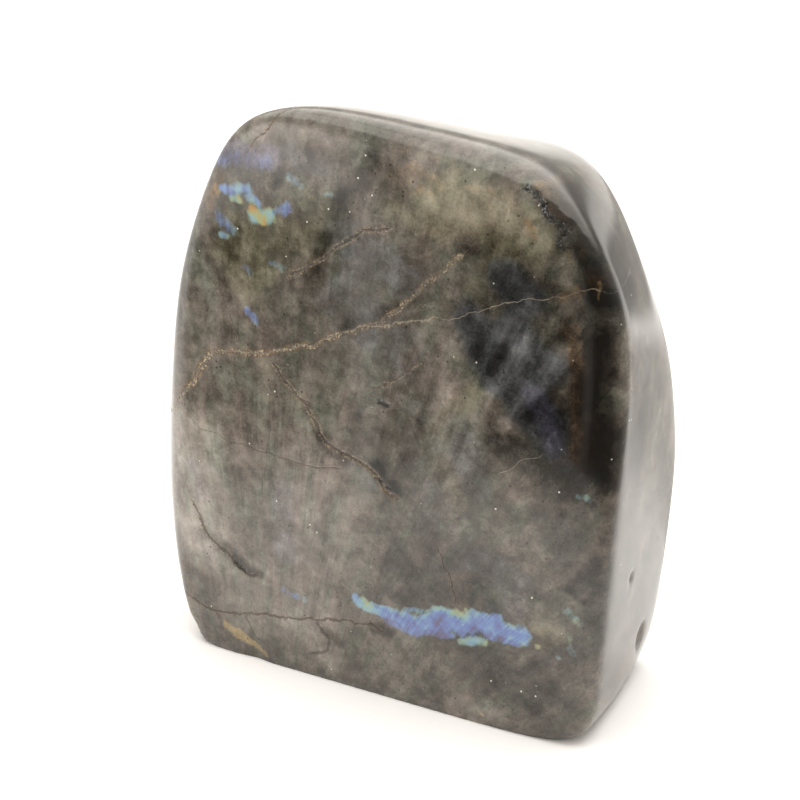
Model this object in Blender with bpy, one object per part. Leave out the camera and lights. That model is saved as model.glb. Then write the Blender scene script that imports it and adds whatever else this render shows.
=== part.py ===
import math

import bmesh
import bpy
import numpy as np
from mathutils import Vector, noise

MM = 0.001
UP = 2

# The faces the stone was ground to, as (bearing, tilt, distance). Bearing 0 faces the front, -Y, and 90
# faces +X. Tilt is upwards from level. Both are in degrees, and distance is in millimetres from the middle.
GROUND_FACES = {
    "front": (-1, 0.8, 25),
    "front right": (12, 0, 37),
    "front left": (-46, 2, 55.5),
    "front top": (9, 45, 65.3),
    "left": (-93, 15, 60.5),
    "left upper": (-94, 27, 62.3),
    "left lower": (-101, -23, 67),
    "left top": (-110, 64, 72.3),
    "top": (140, 79, 66.3),
    "top right": (98, 50, 71.2),
    "right upper": (104, 22, 60.3),
    "right": (94, -3, 55.2),
    "right foot": (70, -59, 82.4),
    "back foot": (120, -40, 78.5),
    "back": (179, -5, 27.3),
    "back right": (142, 17, 48.5),
    "back left": (-140, 4, 46),
    "back top": (178, 68, 67),
    "underside": (0, -90, 64),
}
EDGE_SHARPNESS = 22  # a higher number leaves tighter edges between the ground faces
MIDDLE_HEIGHT = 62  # millimetres, the point that the ground faces are measured from

# Flats polished by hand keep a faint swell.
SWELL_HEIGHT = 0.25
SWELL_LENGTH = 38

# Hollows where soft or cracked mineral broke out, as (bearing, tilt, radius, depth) in degrees and
# millimetres, each placed by the direction from the middle.
HOLLOWS = {
    "crumbled corner": (58.6, 49.8, 2.8, 0.7),
    "crumbled corner, upper": (57.5, 53.3, 2.4, 0.5),
    "crumbled corner, lower": (60.9, 45.9, 3.6, 0.8),
    "bottom left chip": (-53, -56, 6, 0.9),
    "left foot chip": (-65, -46, 4, 0.6),
    "side pit": (83, -27, 2.5, 0.4),
    "right foot chip": (98, -43, 5, 0.9),
    "back right chip": (118, -37, 4.5, 0.8),
    "back pit": (168, 22, 4, 0.5),
    "back seam pit": (-170, -30, 5, 0.6),
    "back left chip": (-118, -40, 5.5, 0.9),
    "top pit": (165, 80, 3, 0.4),
    "left side pit": (-96, 5, 3, 0.4),
}

SPHERE_SUBDIVISIONS = 7
KEPT_SHARE = 0.09  # the share of the fine mesh's faces that the solid keeps

STONE_COLOUR = (0.115, 0.108, 0.098, 1)
STONE_ROUGHNESS = 0.15


def direction(bearing, tilt):
    turn = math.radians(bearing)
    rise = math.radians(tilt)
    return np.array((math.sin(turn) * math.cos(rise), -math.cos(turn) * math.cos(rise), math.sin(rise)))


def ground_radius(directions):
    """Distance from the middle to the ground surface along each unit direction, in millimetres."""
    faces = [(direction(bearing, tilt), distance) for bearing, tilt, distance in GROUND_FACES.values()]
    nearness = np.stack([np.maximum(directions @ normal, 0) / distance for normal, distance in faces], axis=-1)
    return 1 / (nearness**EDGE_SHARPNESS).sum(axis=-1) ** (1 / EDGE_SHARPNESS)


def hollow_depth(points):
    """How far each point sinks where mineral broke out, in millimetres."""
    depth = np.zeros(len(points))
    for bearing, tilt, radius, floor in HOLLOWS.values():
        towards = direction(bearing, tilt)
        centre = towards * ground_radius(towards[None])[0]
        reach = np.clip(1 - np.linalg.norm(points - centre, axis=1) / radius, 0, 1)
        depth = np.maximum(depth, floor * reach * reach * (3 - 2 * reach))
    return depth


def ground_blank(collection):
    """A fine ball, drawn in to the ground faces and sunk at the hollows."""
    bpy.ops.mesh.primitive_ico_sphere_add(subdivisions=SPHERE_SUBDIVISIONS, radius=1)
    blank = bpy.context.object
    for owner in list(blank.users_collection):
        owner.objects.unlink(blank)
    collection.objects.link(blank)

    directions = np.array([vertex.co.normalized() for vertex in blank.data.vertices])
    points = directions * ground_radius(directions)[:, None]
    swell = np.array([noise.noise(Vector(point) / SWELL_LENGTH) for point in points]) * SWELL_HEIGHT
    points += directions * (swell - hollow_depth(points))[:, None]
    for vertex, point in zip(blank.data.vertices, points):
        vertex.co = (point[0] * MM, point[1] * MM, (point[UP] + MIDDLE_HEIGHT) * MM)
    return blank


def thin_out(blank):
    """The same surface with fewer faces, large on the flats and small on the edges and in the hollows."""
    decimate = blank.modifiers.new("Fewer faces", "DECIMATE")
    decimate.ratio = KEPT_SHARE
    evaluated = blank.evaluated_get(bpy.context.evaluated_depsgraph_get())
    return bpy.data.meshes.new_from_object(evaluated)


def cut_base(mesh):
    """Saws the underside off flat at the ground and centres the stone over the origin."""
    shape = bmesh.new()
    shape.from_mesh(mesh)
    everything = shape.verts[:] + shape.edges[:] + shape.faces[:]
    bmesh.ops.bisect_plane(shape, geom=everything, plane_co=(0, 0, 0), plane_no=(0, 0, 1), clear_inner=True)
    rim = [edge for edge in shape.edges if edge.is_boundary]
    bmesh.ops.contextual_create(shape, geom=rim)
    bmesh.ops.recalc_face_normals(shape, faces=shape.faces[:])

    corners = np.array([vertex.co for vertex in shape.verts])
    middle = (corners.min(axis=0) + corners.max(axis=0)) / 2
    bmesh.ops.translate(shape, verts=shape.verts[:], vec=(-middle[0], -middle[1], 0))
    shape.to_mesh(mesh)
    shape.free()
    mesh.shade_smooth()
    mesh.set_sharp_from_angle(angle=math.radians(35))


def polished_labradorite():
    material = bpy.data.materials.new("polished labradorite")
    material.use_nodes = True
    shader = material.node_tree.nodes["Principled BSDF"]
    shader.inputs["Base Color"].default_value = STONE_COLOUR
    shader.inputs["Roughness"].default_value = STONE_ROUGHNESS
    shader.inputs["Metallic"].default_value = 0
    return material


for old in list(bpy.data.objects):
    bpy.data.objects.remove(old, do_unlink=True)

stone_collection = bpy.data.collections.new("labradorite freeform")
bpy.context.scene.collection.children.link(stone_collection)

stone_blank = ground_blank(stone_collection)
stone_mesh = thin_out(stone_blank)
bpy.data.objects.remove(stone_blank, do_unlink=True)
cut_base(stone_mesh)
stone_mesh.name = "labradorite_stone"
stone_mesh.materials.clear()
stone_mesh.materials.append(polished_labradorite())
stone = bpy.data.objects.new("labradorite_stone", stone_mesh)
stone_collection.objects.link(stone)
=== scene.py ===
import math

import bmesh
import bpy
import numpy as np
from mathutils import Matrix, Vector, noise


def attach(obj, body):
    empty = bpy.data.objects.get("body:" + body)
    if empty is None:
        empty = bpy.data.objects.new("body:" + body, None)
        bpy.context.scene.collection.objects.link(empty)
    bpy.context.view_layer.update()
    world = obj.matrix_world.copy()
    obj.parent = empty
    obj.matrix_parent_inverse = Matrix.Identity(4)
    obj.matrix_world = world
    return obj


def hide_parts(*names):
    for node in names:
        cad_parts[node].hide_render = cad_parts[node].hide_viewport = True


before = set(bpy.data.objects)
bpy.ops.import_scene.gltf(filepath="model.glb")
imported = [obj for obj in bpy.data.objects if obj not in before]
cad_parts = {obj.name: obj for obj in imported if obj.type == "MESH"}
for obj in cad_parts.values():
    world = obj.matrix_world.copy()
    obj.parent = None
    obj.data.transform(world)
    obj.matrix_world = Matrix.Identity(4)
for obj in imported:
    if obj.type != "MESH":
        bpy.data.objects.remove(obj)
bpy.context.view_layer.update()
print("frame loaded:", sorted(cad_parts))

mm = 0.001  # sizes below are in millimetres, Blender's are in metres
noise.seed_set(4)  # without it the noise vectors, which bend the drawn lines, differ from run to run


def linear(hexColour):
    channels = [int(hexColour[i:i + 2], 16) / 255 for i in (1, 3, 5)]
    return [c / 12.92 if c <= 0.04045 else ((c + 0.055) / 1.055) ** 2.4 for c in channels] + [1.0]


def addNode(tree, kind, settings=None, inputs=None, stops=None):
    # adds a node, sets its properties and colour stops, fills or links its inputs, and gives back its outputs
    made = tree.nodes.new(kind)
    for name, value in (settings or {}).items():
        setattr(made, name, value)
    for socket, value in (inputs or {}).items():
        if isinstance(value, bpy.types.NodeSocket):
            tree.links.new(value, made.inputs[socket])
        else:
            made.inputs[socket].default_value = value
    if stops:
        ramp = made.color_ramp.elements
        ramp[0].color, ramp[1].color = linear(stops[0]), linear(stops[-1])
        for i, hexColour in enumerate(stops[1:-1], 1):
            ramp.new(i / (len(stops) - 1)).color = linear(hexColour)
    return made.outputs


# The stone. Lengths are in millimetres and angles in degrees: bearing 0 faces the front, -Y, and 90 faces
# +X, and tilt is upwards from level. A ground face's distance is from the middle, middleHeight above the base.
# Seams, strokes and flashes give (x, z) places on the face that they lie in.
stone = {
    "edgeSharpness": 22.0,
    "middleHeight": 62.0,
    "swellHeight": 0.25,
    "swellLength": 38.0,
    "groundFaces": {
        "front": (-1, 0.8, 25),
        "front right": (12, 0, 37),
        "front left": (-46, 2, 55.5),
        "front top": (9, 45, 65.3),
        "left": (-93, 15, 60.5),
        "left upper": (-94, 27, 62.3),
        "left lower": (-101, -23, 67),
        "left top": (-110, 64, 72.3),
        "top": (140, 79, 66.3),
        "top right": (98, 50, 71.2),
        "right upper": (104, 22, 60.3),
        "right": (94, -3, 55.2),
        "right foot": (70, -59, 82.4),
        "back foot": (120, -40, 78.5),
        "back": (179, -5, 27.3),
        "back right": (142, 17, 48.5),
        "back left": (-140, 4, 46),
        "back top": (178, 68, 67),
        "underside": (0, -90, 64),
    },
    # (bearing, tilt, radius, depth, how much painted shade darkens it inside): where soft or cracked mineral broke out
    "hollows": {
        "crumbled corner": (58.6, 49.8, 2.8, 0.7, 0.6),
        "crumbled corner, upper": (57.5, 53.3, 2.4, 0.5, 0.5),
        "crumbled corner, lower": (60.9, 45.9, 3.6, 0.8, 0.6),
        "bottom left chip": (-53, -56, 6, 0.9, 0.0),
        "left foot chip": (-65, -46, 4, 0.6, 0.1),
        "side pit": (83, -27, 2.5, 0.4, 0.6),
        "right foot chip": (98, -43, 5, 0.9, 0.3),
        "back right chip": (118, -37, 4.5, 0.8, 0.3),
        "back pit": (168, 22, 4, 0.5, 0.8),
        "back seam pit": (-170, -30, 5, 0.6, 0.5),
        "back left chip": (-118, -40, 5.5, 0.9, 0.2),
        "top pit": (165, 80, 3, 0.4, 0.7),
        "left side pit": (-96, 5, 3, 0.4, 0.7),
    },
    # the longest edge of the mesh in each kind of place
    "meshSpacing": {"plain": 1.6, "flash": 0.65, "hollow": 0.42, "seam": 0.35},
    "pits": {"Pit Spacing": 0.5, "Pit Radius": 0.5, "Pit Depth": 0.35},
    "pitSeed": 6,
    # cracks and healed seams: half width, pale from 0, dark, to 1, healed, and the iron stain round them
    "seams": [
        {"face": "front", "width": 0.45, "pale": 0.35, "stain": 1.0, "places":
            [(-54, 57), (-49, 62.5), (-46.5, 65.5), (-44.5, 67.5), (-42, 71), (-40, 74), (-38.5, 76)]},
        {"face": "front", "width": 0.3, "pale": 0.4, "stain": 0.9, "places":
            [(-38.5, 76), (-33, 76.7), (-28.5, 76.8), (-24, 77.8), (-18, 79.7), (-14, 81), (-10, 82), (-4, 85.5)]},
        {"face": "front", "width": 0.17, "pale": 0.7, "stain": 0.5, "places":
            [(-4, 85.5), (0.5, 87.4), (5, 88.5), (10, 90), (15, 91.4), (20, 92.4)]},
        {"face": "front", "width": 0.1, "pale": 0.8, "stain": 0.1, "places":
            [(20, 92.4), (23.5, 93), (26, 94.3), (29, 95.6), (33.5, 97.3), (38, 98.9), (42.5, 100), (46, 100.8)]},
        {"face": "front", "width": 0.3, "pale": 0.2, "stain": 0.6, "places":
            [(-2, 86), (4, 88.6), (9, 92), (13, 95.5), (17, 100), (21.5, 103.7), (25.5, 107.5)]},
        {"face": "front", "width": 0.41, "pale": 0.0, "stain": 0.45, "places":
            [(-22, 76), (-19, 72.5), (-16.5, 70), (-13, 67.5), (-10.7, 63.3), (-8, 60), (-3, 57.6), (1, 56.5),
             (4.4, 55), (7, 51.7), (10.5, 50)]},
        {"face": "front", "width": 0.39, "pale": 0.0, "stain": 0.35, "places":
            [(-18, 96), (-11.3, 100), (-6.6, 103.3), (-2.3, 106.3), (3, 109), (9, 110.6)]},
        {"face": "front", "width": 0.13, "pale": 0.1, "stain": 0.6, "places":
            [(-17, 134), (-20.7, 130), (-23, 127.6), (-26.3, 124.2), (-27.6, 122)]},
        {"face": "front", "width": 0.36, "pale": 0.0, "stain": 0.2, "places":
            [(-50, 13), (-48, 12), (-43.5, 10.7), (-39, 9.9), (-34.5, 11), (-26, 12.8), (-17, 14), (-11.6, 15),
             (-4.7, 16.6), (2.6, 17.5), (7.3, 17)]},
        {"face": "front", "width": 0.45, "pale": 0.0, "stain": 0.0, "places":
            [(-11.6, 15), (-9.4, 12.8), (-7.6, 9), (-10.5, 6.5), (-13.5, 5.6)]},
        {"face": "front", "width": 0.12, "pale": 0.0, "stain": 0.1, "places":
            [(-31.5, 12), (-29.5, 9.2), (-27.8, 6.2), (-25, 4.2)]},
        {"face": "front", "width": 0.45, "pale": 0.0, "stain": 0.3, "places":
            [(-46, 38), (-42.5, 31.4), (-39.7, 28.4), (-35.4, 26.3), (-32.6, 23.5), (-29.5, 22), (-26, 22.7)]},
        {"face": "front", "width": 0.12, "pale": 0.0, "stain": 0.4, "places":
            [(-38.4, 94), (-37.2, 91), (-34.8, 87.4), (-32.8, 84), (-31, 79)]},
        {"face": "front", "width": 0.06, "pale": 0.0, "stain": 0.2, "places":
            [(-22.5, 74), (-23.2, 59.7), (-24, 53.4), (-25.2, 48.2), (-26, 38)]},
        {"face": "front", "width": 0.07, "pale": 0.0, "stain": 0.3, "places":
            [(-47, 60), (-43, 56.4), (-38.4, 56), (-33, 54.9), (-22, 54), (-12, 53), (-4, 54.5)]},
        {"face": "front", "width": 0.1, "pale": 1.0, "stain": 0.0, "places":
            [(34.4, 60.5), (38, 63.3), (41, 65.2), (44.7, 67)]},
        {"face": "front", "width": 0.12, "pale": 0.2, "stain": 0.3, "places":
            [(46, 100.8), (50, 102), (53.5, 103.6), (56, 103.4)]},
        {"face": "front", "width": 0.12, "pale": 0.0, "stain": 0.5, "places":
            [(4, 74), (9, 77), (14, 80.5), (18, 84.6)]},
        {"face": "front", "width": 0.12, "pale": 0.0, "stain": 0.2, "places":
            [(20, 41), (24, 34), (25, 27)]},
        {"face": "back", "width": 0.36, "pale": 0.2, "stain": 0.9, "places":
            [(-44, 96), (-34, 91), (-26, 93), (-17, 89), (-9, 90), (-2, 84), (6, 82), (14, 76), (22, 74), (30, 68),
             (42, 66)]},
        {"face": "back", "width": 0.16, "pale": 0.9, "stain": 0.1, "places":
            [(-2, 84), (2, 76), (1, 69), (5, 60), (4, 52), (9, 44), (7, 36), (8, 28)]},
        {"face": "back", "width": 0.3, "pale": 0.0, "stain": 0.4, "places":
            [(-40, 44), (-32, 38), (-24, 37), (-17, 30), (-9, 27), (0, 21), (8, 18), (16, 10)]},
        {"face": "back", "width": 0.14, "pale": 0.0, "stain": 0.3, "places":
            [(14, 76), (18, 86), (17, 94), (22, 104), (21, 112)]},
    ],
    # soft strokes of colour in the stone: (x from, z from, x to, z to, radius, amount)
    "strokes": {
        "shade": {
            "front": [
                # some shade strokes are partly painted reflection: the light one by the top left edge lies where the
                # polish mirrors the window, and the dark one down the right edge where it mirrors the dark room
                (-44, 53, -44, 30, 11, 0.3), (-50, 62, -44, 71, 4, 0.08), (-19, 61, -17, 29, 18, 0.12), (-36, 89, -40, 76, 10, 0.08),
                (-26, 125, -7, 128, 8, 0.12), (-31, 17, -9, 10, 11, 0.1), (45, 28, 49, 28, 3, 0.2),
                (26, 3, 36, 4, 4, 0.14), (-32, 10, -14, 11, 5, 0.06), (-10, 6, -7, 4, 2, 0.16),
                (7, 127, 26, 123, 5, 0.06), (19, 120, 40, 115, 8, 0.12),
                (24, 89, 19, 70, 2.6, 0.14), (40, 90, 29, 73, 2.4, 0.2), (47.5, 90, 36, 72, 2.2, 0.2),
                (50, 95, 53, 98, 2, 0.08), (34, 98, 49, 68, 14, -0.1), (52, 92, 56, 66, 7, -0.18), (15, 34, 44, 14, 15, -0.09),
                (0, 118, 4, 124, 2.6, -0.2), (-6, 111, -3, 117, 1.6, -0.14), (-13, 121, -11, 126, 2.4, -0.12),
                (-20, 117, -18, 122, 1.6, -0.12), (-32, 99, -31, 105, 2, -0.16), (-12, 98, -8, 106, 2, -0.16),
                (-35, 93, -33, 81, 3, -0.1), (-4, 86, 15, 96, 1.6, -0.1), (31, 109, 43, 100, 7, -0.18),
                (26.5, 91, 33.5, 86, 5, -0.16), (29, 86, 32, 82, 3, -0.1), (36, 81, 40, 76, 3.6, -0.18),
                (43, 83, 48, 74, 4, -0.14), (44, 76, 47, 64, 5, -0.12), (37, 92, 44, 86, 3, -0.04),
                (50, 115, 56, 104, 5, -0.3), (55, 100, 58, 66, 4.5, -0.2), (58, 66, 58, 27, 3, -0.08),
                (43, 121, 47, 118, 3, -0.25), (34, 68, 48, 62, 5, -0.16), (-42, 30, -35, 26, 2, -0.2),
                (-34, 25, -27, 23, 1.5, -0.26), (2, 83, 15, 74, 6, -0.04), (9, 68, 15, 58, 5, -0.02),
                (-8, 60, -4, 56, 2, -0.1), (4, 56, 10, 52, 2, -0.2), (-9, 60, -13, 68, 1.5, -0.14),
                (52, 38, 54, 36, 1.5, -0.22), (28, 20, 40, 11, 7, -0.05), (-9, 13, -5, 11, 1.5, -0.18),
                (5, 17, 9, 17, 1.5, -0.2), (49, 53, 58, 36, 7, -0.06),
            ],
            "back": [
                (-35, 100, -20, 60, 14, -0.22), (10, 100, 30, 80, 14, 0.14), (20, 40, 40, 20, 14, -0.18),
                (-30, 30, -10, 12, 12, 0.12), (-5, 70, 5, 50, 8, -0.14), (-8, 118, 14, 110, 8, 0.1),
            ],
        },
        "slate": {
            "front": [
                (-4, 107, 11, 100, 7, 0.5), (-5, 93, 12, 83, 9, 0.4), (35, 104, 40, 99, 5, 1.0),
                (27, 93, 34, 84, 6, 0.8), (36, 93, 45, 86, 5, 0.9), (37, 82, 46, 72, 6, 1.0),
                (25, 69, 30, 56, 5, 0.4), (15, 69, 20, 47, 8, 0.3), (-17, 124, -8, 122, 4, 0.5),
                (30, 40, 40, 37, 5, 0.5), (48, 67, 53, 63, 3, 0.5), (-4, 57, 4, 52, 4, 0.3),
            ],
            "back": [(-35, 100, -20, 60, 14, 0.8), (20, 45, 40, 20, 12, 0.7), (0, 20, 10, 30, 8, 0.4)],
        },
        "olive": {
            "front": [
                (-31, 99, -10, 110, 10, 0.6), (23, 118, 42, 113, 9, 0.8), (10, 115, 19, 112, 6, 0.5),
                (17, 65, 29, 77, 4, 0.6), (-24, 74, -19, 68, 5, 0.3), (45, 28, 49, 27, 4, 0.7),
                (-33, 112, -26, 92, 7, 0.4), (28, 99, 33, 108, 4, 0.5), (20, 60, 26, 52, 4, 0.5),
            ],
            "back": [(10, 110, 30, 90, 12, 0.6), (-30, 40, -20, 20, 10, 0.5)],
        },
        "rust": {
            "front": [
                (-52, 62, -43, 70, 3, 0.4), (-39, 76, -16, 80, 2, 0.25), (-16, 81, -4, 85, 1.5, 0.25),
                (-35, 116, -38, 110, 2, 0.8), (49.5, 94, 54, 67, 2.6, 0.9), (42, 122, 47, 118, 3, 0.8),
                (39, 116, 41, 113, 1.5, 1.0), (10, 124, 31, 119, 6, 0.3), (28, 32, 33, 21, 5, 0.25),
                (23, 18, 31, 8, 5, 0.2), (-51, 20, -48, 10, 3, 0.5), (4, 56, 10, 52, 2, 0.4),
                (5, 119, 17, 120, 5, 0.2), (47, 66, 57, 70, 2, 0.5), (15, 41, 28, 29, 6, 0.2),
                (50, 112, 54, 106, 3, 0.5), (48, 101, 54, 104, 2, 0.7),
            ],
            "back": [(-42, 96, -20, 91, 3, 0.6), (10, 80, 36, 66, 3, 0.5), (30, 110, 42, 100, 8, 0.5)],
        },
        "tan": {  # bare, freshly broken or iron-gold mineral
            "front": [
                (55, 105.2, 55.3, 102, 0.7, 0.9), (-36.8, 7.4, -34, 5.6, 1.6, 1.1), (-33, 6, -29, 3.6, 1.7, 1.2),
                (-28.5, 3.6, -25.6, 1.6, 1.0, 1.0), (-50, 10, -47, 5, 2, 0.7), (31.5, 3.4, 32.5, 2.8, 0.7, 0.9),
            ],
            "back": [(-44, 14, -40, 8, 2, 0.8), (18, 103, 21, 99, 1.0, 0.8)],
        },
        "violet": {
            "front": [(-38, 121, -22, 122, 4, 0.9), (42, 80, 47, 70, 4, 0.6), (-20, 46, -19, 30, 5, 0.4),
                      (-45, 47, -44, 40, 3, 0.4), (31, 26, 38, 30, 5, 0.35)],
            "back": [(-24, 74, -4, 60, 10, 0.6)],
        },
        "streaks": {
            "front": [(14, 60, 46, 92, 15, 1.0), (-34, 92, 0, 118, 14, 0.6), (8, 104, 40, 116, 12, 0.5)],
            "back": [(-30, 90, 30, 60, 18, 0.9)],
        },
        "lamellae": {
            "front": [(-18, 62, -12, 24, 15, 1.0), (-44, 50, -42, 30, 10, 0.5), (52, 92, 54, 60, 3, 1.0),
                      (8, 60, 14, 30, 10, 0.4), (57, 90, 58, 50, 3, 0.8)],
            "back": [(-10, 110, 20, 100, 14, 0.8), (-20, 30, 10, 20, 14, 0.7)],
        },
        "specksAndGlints": {  # fine dark grains, and painted glints where crystals would catch the light
            "front": [
                (-27, 35.4, -16, 37.6, 1.4, 1.0), (-12.5, 37.4, -10, 37.4, 0.9, 1.3), (0, 126, 12, 120, 2.5, 0.9),
                (-14, 108, 2, 118, 6, 0.7), (28, 86, 33, 82, 4, 0.5), (4, 70, 10, 73, 2.5, 1.1),
                (19, 81, 22, 84, 2, 1.0), (50, 96, 56, 66, 3, 0.6), (47, 72, 56, 66, 3, 0.8), (28, 4, 48, 10, 6, 0.5),
                (-10, 22, 4, 26, 5, 0.4), (40, 122, 48, 112, 3, 0.8), (-44, 12, -40, 10, 2.5, 0.9),
                (44, 36, 56, 30, 6, 0.4),
            ],
            "back": [(-40, 96, 38, 66, 6, 0.5), (-30, 38, 14, 14, 5, 0.6)],
        },
        "crumble": {  # coarse grains that wouldn't take the polish, with painted glitter
            "front": [
                (38.6, 122, 41, 121.2, 0.9, 0.9), (41, 121.2, 42.8, 118.7, 0.9, 0.9),
                (42.8, 118.7, 44.3, 116.6, 0.9, 1.0), (44.3, 116.6, 46.6, 115.8, 0.8, 0.9),
                (46.6, 115.6, 48.1, 114.4, 1.0, 1.0), (47.6, 114, 46.8, 112, 0.9, 0.9),
                (5.6, 71.6, 7.6, 70.8, 0.9, 0.9), (-33.6, 24.6, -31, 22.6, 0.9, 0.8),
                (6, 53, 8, 51.6, 0.8, 0.6),
            ],
            "back": [(-6, 86, -1, 83, 1.4, 1.0), (12, 78, 16, 75, 1.2, 0.9)],
        },
    },
    # the flashes are a painted sheen: the labradorescence is fixed into the colour
    # labradorescence: as the strokes, with the hue last, from 0, violet, through blue and gold to 1, orange
    "flashes": {
        "front": [
            (2, 23.4, 8, 22.4, 1.0, 0.8, 0.56), (8, 22.8, 15, 22, 1.1, 0.8, 0.52), (15, 22.2, 21, 24, 1.2, 0.85, 0.5),
            (20, 25.6, 28, 25.8, 1.3, 0.85, 0.54), (28, 26.6, 36, 27.6, 1.3, 0.85, 0.52), (35, 27, 40, 26, 1.3, 0.8, 0.5),
            (8, 19.4, 15, 18.6, 1.1, 0.9, 0.14), (15, 18.4, 24, 20.4, 1.3, 0.9, 0.12), (33, 23, 40, 22.4, 1.3, 0.9, 0.1),
            (0, 22.6, 7, 20.8, 1.8, 1.0, 0.4), (7, 21.5, 15, 20.6, 2.0, 1.0, 0.3), (15, 20.4, 22, 22, 2.6, 1.0, 0.22),
            (21, 23.4, 29, 23.6, 2.8, 1.0, 0.26), (29, 24.5, 35, 26, 2.9, 1.0, 0.3),
            (34, 25.5, 41, 24.4, 2.9, 1.0, 0.3), (27, 19.8, 32, 20.8, 1.6, 0.8, 0.62),
            (12, 23.4, 35, 27.8, 0.9, 0.6, 0.55), (-36, 120, -22, 121, 2.6, 0.45, 0.1),
            (-34, 113.5, -28, 114.5, 1.7, 0.8, 0.42), (-32, 112, -29.5, 112, 1.2, 0.9, 0.84),
            (-27.5, 113, -25, 111.5, 1.4, 0.8, 0.36), (-26.4, 110, -24, 107.6, 1.8, 1.0, 0.98),
            (-26, 108.6, -22.6, 109, 2.9, 0.9, 0.58), (-20.5, 110, -17, 112, 1.7, 0.7, 0.18),
            (-36, 108, -32, 105, 2.2, 0.5, 0.3), (-35, 103.6, -33, 103.4, 1.2, 0.7, 0.48),
            (-37, 114, -35.6, 111.5, 1.2, 0.5, 0.93), (-17, 118.5, -14, 116.5, 1.6, 0.5, 0.44),
            (-7.5, 115.6, -5.8, 115.8, 1.2, 0.55, 0.48), (-29, 97, -27.5, 96, 1.6, 0.45, 0.42),
            (-21.5, 98, -19, 97.6, 1.4, 0.4, 0.4), (-28.5, 86.8, -26, 84.6, 1.5, 0.65, 0.34),
            (-17, 20.5, -14.5, 19.8, 1.5, 0.55, 0.38), (-20, 21, -18, 20.6, 1.2, 0.4, 0.3),
            (52, 33, 54, 31, 1.8, 0.45, 0.5), (52.6, 27, 53.4, 23, 1.2, 0.45, 0.52),
            (44.6, 22.9, 45.2, 22.9, 0.9, 0.6, 0.54), (49.4, 21.5, 50, 21.5, 0.9, 0.5, 0.52),
            (53, 59.4, 55, 58.8, 1.0, 0.5, 0.48),
        ],
        "back": [
            (-22, 70, -4, 62, 5, 0.9, 0.28), (-18, 66, -8, 64, 2.6, 0.9, 0.6), (12, 34, 26, 40, 4.4, 0.8, 0.22),
            (16, 36, 22, 38, 2, 0.8, 0.54), (22, 96, 28, 92, 3, 0.5, 0.42), (-30, 104, -26, 100, 3, 0.4, 0.14),
        ],
    },
    # the colours, from dark to milky, and the patterns in them. A pattern's size is in millimetres; it runs
    # stretch times as far along x, y and z, warp is how far the cloudy body bends it, and a fanned one follows
    # the stone's layers, which spread out from a point below the base
    "fan": {"from": (-27, -50), "radius": 130},
    "patterns": {
        "broad": {"size": 22, "detail": 3, "roughness": 0.5, "warp": 0.0},
        "patches": {"size": 5.5, "detail": 7, "roughness": 0.62, "warp": 5.0},
        "mottle": {"size": 2.4, "detail": 5, "roughness": 0.62, "warp": 2.5},
        "grain": {"size": 0.5, "detail": 2, "roughness": 0.6, "warp": 0.0},
        "crumbs": {"size": 0.8, "detail": 3, "roughness": 0.7, "warp": 0.0},
        "bands": {"size": 4.6, "detail": 4, "roughness": 0.6, "warp": 5.0, "fanned": True, "stretch": (1, 2, 8)},
        "fineBands": {"size": 1.2, "detail": 2, "roughness": 0.5, "warp": 2.0, "fanned": True, "stretch": (1, 2, 11)},
        "streaks": {"size": 2.6, "detail": 3, "roughness": 0.55, "warp": 1.0, "fanned": True, "stretch": (1, 2, 7)},
        "layers": {"size": 0.9, "detail": 1, "roughness": 0.5, "warp": 0.6, "fanned": True, "stretch": (1, 2, 16)},
        "pinks": {"size": 6, "detail": 5, "roughness": 0.65, "warp": 5.0, "fanned": True, "stretch": (1, 1, 2)},
        "greens": {"size": 7, "detail": 5, "roughness": 0.65, "warp": 5.0, "fanned": True, "stretch": (1, 1, 2)},
    },
    "bendSize": 8,
    "middleShade": 0.42,
    "shadeFrom": {"broad": 0.22, "patches": 0.6, "mottle": 0.36, "grain": 0.24, "bands": 0.24, "fineBands": 0.1},
    # single crystals, each a little lighter or darker than its neighbours, with a thin dark line between some
    "crystals": {"size": 12, "stretch": (1, 1.5, 1.7), "warp": 6.0, "shade": 0.07, "edge": 0.025, "edgeShade": -0.03},
    "body": ["#110e0a", "#2b2721", "#4e4942", "#716a62", "#938b83", "#ada59d"],
    # a tint lies where it is marked, and its pattern breaks up its edges
    "tints": {
        "pink": {"pattern": "pinks", "spread": 2.8, "from": 0.35, "to": 0.95, "strength": 0.6,
                 "colours": ["#171210", "#332b26", "#584e47", "#7d7068", "#9e9088", "#b6aaa3"]},
        "green": {"pattern": "greens", "spread": 2.8, "from": 0.35, "to": 0.95, "strength": 0.6,
                  "colours": ["#0f110d", "#272a22", "#484c41", "#6c7164", "#8e9286", "#a8aba0"]},
        "olive": {"pattern": "patches", "spread": 1.6, "from": 0.05, "to": 0.9, "strength": 0.6,
                  "colours": ["#111009", "#2b2919", "#524e3b", "#77735f", "#96937e", "#afad9b"]},
        "slate": {"pattern": "patches", "spread": 1.2, "from": 0.1, "to": 0.85, "strength": 0.72,
                  "colours": ["#0f1011", "#27292b", "#45484b", "#65696c", "#858a8c", "#a2a7a8"]},
        "violet": {"pattern": "patches", "spread": 0.9, "from": 0.1, "to": 0.9, "strength": 0.6,
                   "colours": ["#12101a", "#2b2936", "#4e4b59", "#716d7a", "#918c96", "#aaa6ae"]},
        "rust": {"pattern": "mottle", "spread": 1.7, "from": 0.2, "to": 1.0, "strength": 0.65,
                 "colours": ["#160e06", "#332519", "#5b4834", "#836b4f", "#a48d70", "#c2b094"]},
        "tan": {"pattern": "crumbs", "spread": 1.4, "from": 0.3, "to": 1.3, "strength": 0.8,
                "colours": ["#54452c", "#6d5c3e", "#8a7753", "#a2906b", "#b9a986", "#d0c4a5"]},
    },
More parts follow.
